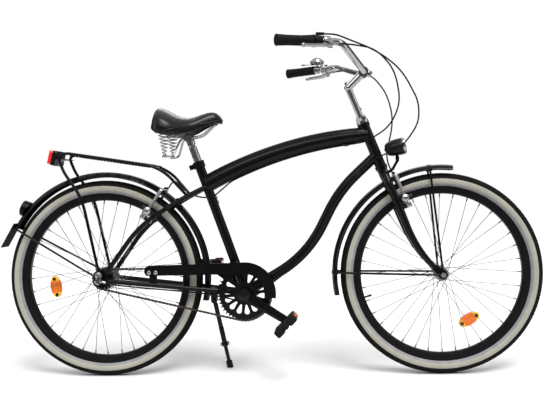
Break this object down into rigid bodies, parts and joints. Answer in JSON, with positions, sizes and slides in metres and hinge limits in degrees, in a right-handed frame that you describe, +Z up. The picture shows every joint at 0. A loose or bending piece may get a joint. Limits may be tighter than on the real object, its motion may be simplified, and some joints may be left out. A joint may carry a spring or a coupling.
{
  "type": "beach cruiser bicycle",
  "caption": "Black beach cruiser bicycle with whitewall tyres, sprung saddle, rear rack, mudguards, hub gear and kickstand.",
  "frame": {"origin": "bottom centre of the whole box on the ground, with the bicycle leaning on its kickstand", "axes": "+X forwards along the ground, +Y to the rider's left, +Z up"},
  "size_m": [1.809, 0.7258, 1.0998],
  "materials": {
    "frame_paint": "gloss",
    "chrome": "gloss",
    "silver": "satin",
    "steel": "satin",
    "rim_black": "satin",
    "tyre": "matte",
    "saddle_skin": "gloss",
    "grip_rubber": "matte",
    "black_plastic": "gloss",
    "clear_lens": "gloss",
    "red_lens": "gloss",
    "amber_lens": "gloss"
  },
  "bodies": {
    "frame": {"head_tube": "frame_paint", "top_tube": "frame_paint", "down_tube": "frame_paint", "seat_tube": "frame_paint", "seat_stays": "frame_paint", "chain_stays": "frame_paint", "seat_clamp": "frame_paint", "rear_fender": "frame_paint", "rear_rack": "frame_paint", "tail_light": "black_plastic", "tail_light_lens": "red_lens", "chain_guard": "frame_paint", "kickstand_bracket": "frame_paint", "rear_axle": "chrome", "frame_cables": "grip_rubber", "chain": "steel"},
    "kickstand": {"kickstand_leg": "frame_paint"},
    "rear_brake_left": {"rear_brake_arm_left": "silver"},
    "rear_brake_right": {"rear_brake_arm_right": "silver"},
    "sprocket": {"rear_sprocket": "steel"},
    "rear_wheel": {"rear_tyre": "tyre", "rear_rim": "rim_black", "rear_hub": "silver", "rear_spokes": "steel", "rear_wheel_reflector": "amber_lens"},
    "crank": {"crank_spindle": "steel", "crank_arm_right": "rim_black", "crank_arm_left": "rim_black", "chainring": "rim_black"},
    "right_pedal": {"pedal_right": "grip_rubber"},
    "left_pedal": {"pedal_left": "grip_rubber"},
    "seat": {"seat_post": "chrome", "saddle_rails": "chrome", "saddle_springs": "chrome"},
    "saddle_top": {"saddle": "saddle_skin"},
    "steer": {"fork": "frame_paint", "stem": "chrome", "handlebar": "chrome", "grips": "grip_rubber", "brake_lever_clamps": "silver", "front_fender": "frame_paint", "front_axle": "chrome", "front_brake_cable": "grip_rubber", "headlight_bracket": "frame_paint", "bell": "chrome", "shifter_housing": "black_plastic", "handlebar_cables": "grip_rubber"},
    "front_light": {"headlight": "black_plastic", "headlight_lens": "clear_lens"},
    "bell_thumb": {"bell_lever": "chrome"},
    "shifter": {"shifter_twist": "grip_rubber"},
    "front_wheel": {"front_tyre": "tyre", "front_rim": "rim_black", "front_hub": "silver", "front_spokes": "steel", "front_wheel_reflector": "amber_lens"},
    "front_brake_left": {"front_brake_arm_left": "silver"},
    "front_brake_right": {"front_brake_arm_right": "silver"},
    "left_lever": {"brake_lever_left": "silver"},
    "right_lever": {"brake_lever_right": "silver"}
  },
  "joints": [
    {"name": "steering", "type": "hinge", "parent": "frame", "child": "steer", "pos_m": [0.35676, -0.02117, 0.75339], "axis": [-0.3649, 0.0649, 0.9288], "range_deg": [-45, 45], "deforming": ["handlebar_cables"]},
    {"name": "front_wheel_spin", "type": "hinge", "parent": "steer", "child": "front_wheel", "pos_m": [0.57347, -0.05076, 0.33025], "axis": [0, 0.9976, -0.0698], "continuous": true},
    {"name": "rear_wheel_spin", "type": "hinge", "parent": "frame", "child": "rear_wheel", "pos_m": [-0.55053, -0.05076, 0.33025], "axis": [0, 0.9976, -0.0698], "continuous": true},
    {"name": "crank_spin", "type": "hinge", "parent": "frame", "child": "crank", "pos_m": [-0.07432, -0.05452, 0.27638], "axis": [0, 0.9976, -0.0698], "continuous": true, "deforming": ["chain"]},
    {"name": "sprocket_spin", "type": "hinge", "parent": "frame", "child": "sprocket", "pos_m": [-0.55053, -0.05076, 0.33025], "axis": [0, 0.9976, -0.0698], "continuous": true},
    {"name": "right_pedal_spin", "type": "hinge", "parent": "crank", "child": "right_pedal", "pos_m": [0.0656, -0.06062, 0.18916], "axis": [0, 0.9976, -0.0698], "continuous": true},
    {"name": "left_pedal_spin", "type": "hinge", "parent": "crank", "child": "left_pedal", "pos_m": [-0.21425, -0.04843, 0.36361], "axis": [0, 0.9976, -0.0698], "continuous": true},
    {"name": "kickstand_fold", "type": "hinge", "parent": "frame", "child": "kickstand", "pos_m": [-0.18853, -0.01578, 0.24268], "axis": [0, 0.9962, 0.0872], "range_deg": [0, 88]},
    {"name": "seat_height", "type": "slide", "parent": "frame", "child": "seat", "axis": [-0.3289, 0.0659, 0.9421], "range_m": [-0.05, 0.08]},
    {"name": "saddle_bounce", "type": "hinge", "parent": "seat", "child": "saddle_top", "pos_m": [-0.16386, -0.01509, 0.8403], "axis": [0, -0.9976, 0.0698], "range_deg": [0, 3], "stiffness_Nm_per_rad": 300, "springref_deg": -2.86, "deforming": ["saddle_springs"]},
    {"name": "rear_brake_lever", "type": "hinge", "parent": "steer", "child": "right_lever", "pos_m": [0.22227, -0.29916, 1.0616], "axis": [-0.168, 0.3242, -0.9309], "range_deg": [0, 14], "stiffness_Nm_per_rad": 2, "springref_deg": -17.19},
    {"name": "front_brake_lever", "type": "hinge", "parent": "steer", "child": "left_lever", "pos_m": [0.2151, 0.30054, 1.01947], "axis": [0.168, 0.4506, 0.8768], "range_deg": [0, 14], "stiffness_Nm_per_rad": 2, "springref_deg": -17.19},
    {"name": "front_brake_left_close", "type": "hinge", "parent": "steer", "child": "front_brake_left", "pos_m": [0.4657, 0.01605, 0.55456], "axis": [0.9311, 0.0255, 0.364], "range_deg": [0, 3.5]},
    {"name": "front_brake_right_close", "type": "hinge", "parent": "steer", "child": "front_brake_right", "pos_m": [0.4657, -0.0857, 0.56168], "axis": [-0.9311, -0.0255, -0.364], "range_deg": [0, 3.5]},
    {"name": "rear_brake_left_close", "type": "hinge", "parent": "frame", "child": "rear_brake_left", "pos_m": [-0.40598, 0.01452, 0.53262], "axis": [0.8192, -0.04, -0.5722], "range_deg": [0, 3.5]},
    {"name": "rear_brake_right_close", "type": "hinge", "parent": "frame", "child": "rear_brake_right", "pos_m": [-0.40598, -0.08723, 0.53973], "axis": [-0.8192, 0.04, 0.5722], "range_deg": [0, 3.5]},
    {"name": "gear_twist", "type": "hinge", "parent": "steer", "child": "shifter", "pos_m": [0.15804, -0.29773, 1.07369], "axis": [0.8961, 0.4439, -0.0071], "range_deg": [0, 60]},
    {"name": "bell_press", "type": "hinge", "parent": "steer", "child": "bell_thumb", "pos_m": [0.15896, 0.28994, 1.05423], "axis": [0, 0.0698, 0.9976], "range_deg": [0, 25], "stiffness_Nm_per_rad": 0.06, "springref_deg": -22.92},
    {"name": "headlight_tilt", "type": "hinge", "parent": "steer", "child": "front_light", "pos_m": [0.4379, -0.02387, 0.71478], "axis": [0, 0.9976, -0.0698], "range_deg": [-10, 15]}
  ],
  "couplings": [
    {"joint": "sprocket_spin", "follows": "crank_spin", "ratio": 2.75},
    {"joint": "front_brake_left_close", "follows": "front_brake_lever", "ratio": 0.24},
    {"joint": "front_brake_right_close", "follows": "front_brake_lever", "ratio": 0.24},
    {"joint": "rear_brake_left_close", "follows": "rear_brake_lever", "ratio": 0.24},
    {"joint": "rear_brake_right_close", "follows": "rear_brake_lever", "ratio": 0.24}
  ]
}
